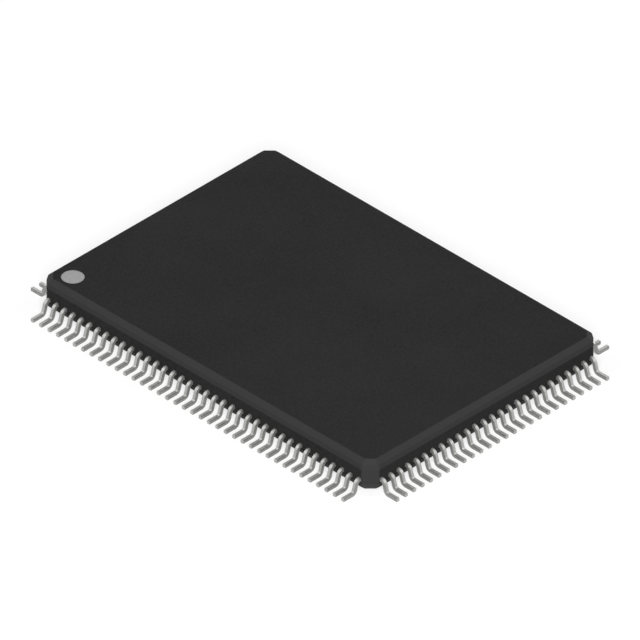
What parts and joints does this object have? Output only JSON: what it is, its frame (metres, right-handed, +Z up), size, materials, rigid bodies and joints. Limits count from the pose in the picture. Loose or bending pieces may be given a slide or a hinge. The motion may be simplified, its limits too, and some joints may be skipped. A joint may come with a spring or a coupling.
{
  "type": "integrated circuit",
  "caption": "Surface-mount integrated circuit in a flat rectangular moulded package, with fine-pitch gull-wing leads along every side and a pale dot at the pin one corner.",
  "frame": {"origin": "middle of the package on the seating plane that the undersides of the lead feet stand on", "axes": "+X along the long side, +Y along the short side, +Z up out of the marked face; the pin 1 dot is at the -X, -Y corner and pins count anticlockwise from it, seen from above"},
  "size_m": [0.0218, 0.0158, 0.0016],
  "materials": {
    "moulding_compound": "fine matt, moulded black epoxy",
    "dot_ink": "flat pale grey print",
    "tin_plate": "matt tin plating on copper alloy",
    "silver_plate": "silver-plated copper alloy",
    "die_adhesive": "cured silver-filled epoxy",
    "silicon": "polished silicon with a patterned face",
    "gold_wire": "drawn gold wire"
  },
  "bodies": {
    "root": {"package_body": "moulding_compound", "pin_1_dot": "dot_ink", "die_paddle": "silver_plate", "die_attach": "die_adhesive", "silicon_die": "silicon", "leads_1_to_38": "tin_plate", "leads_39_to_64": "tin_plate", "leads_65_to_102": "tin_plate", "leads_103_to_128": "tin_plate"}
  },
  "joints": []
}
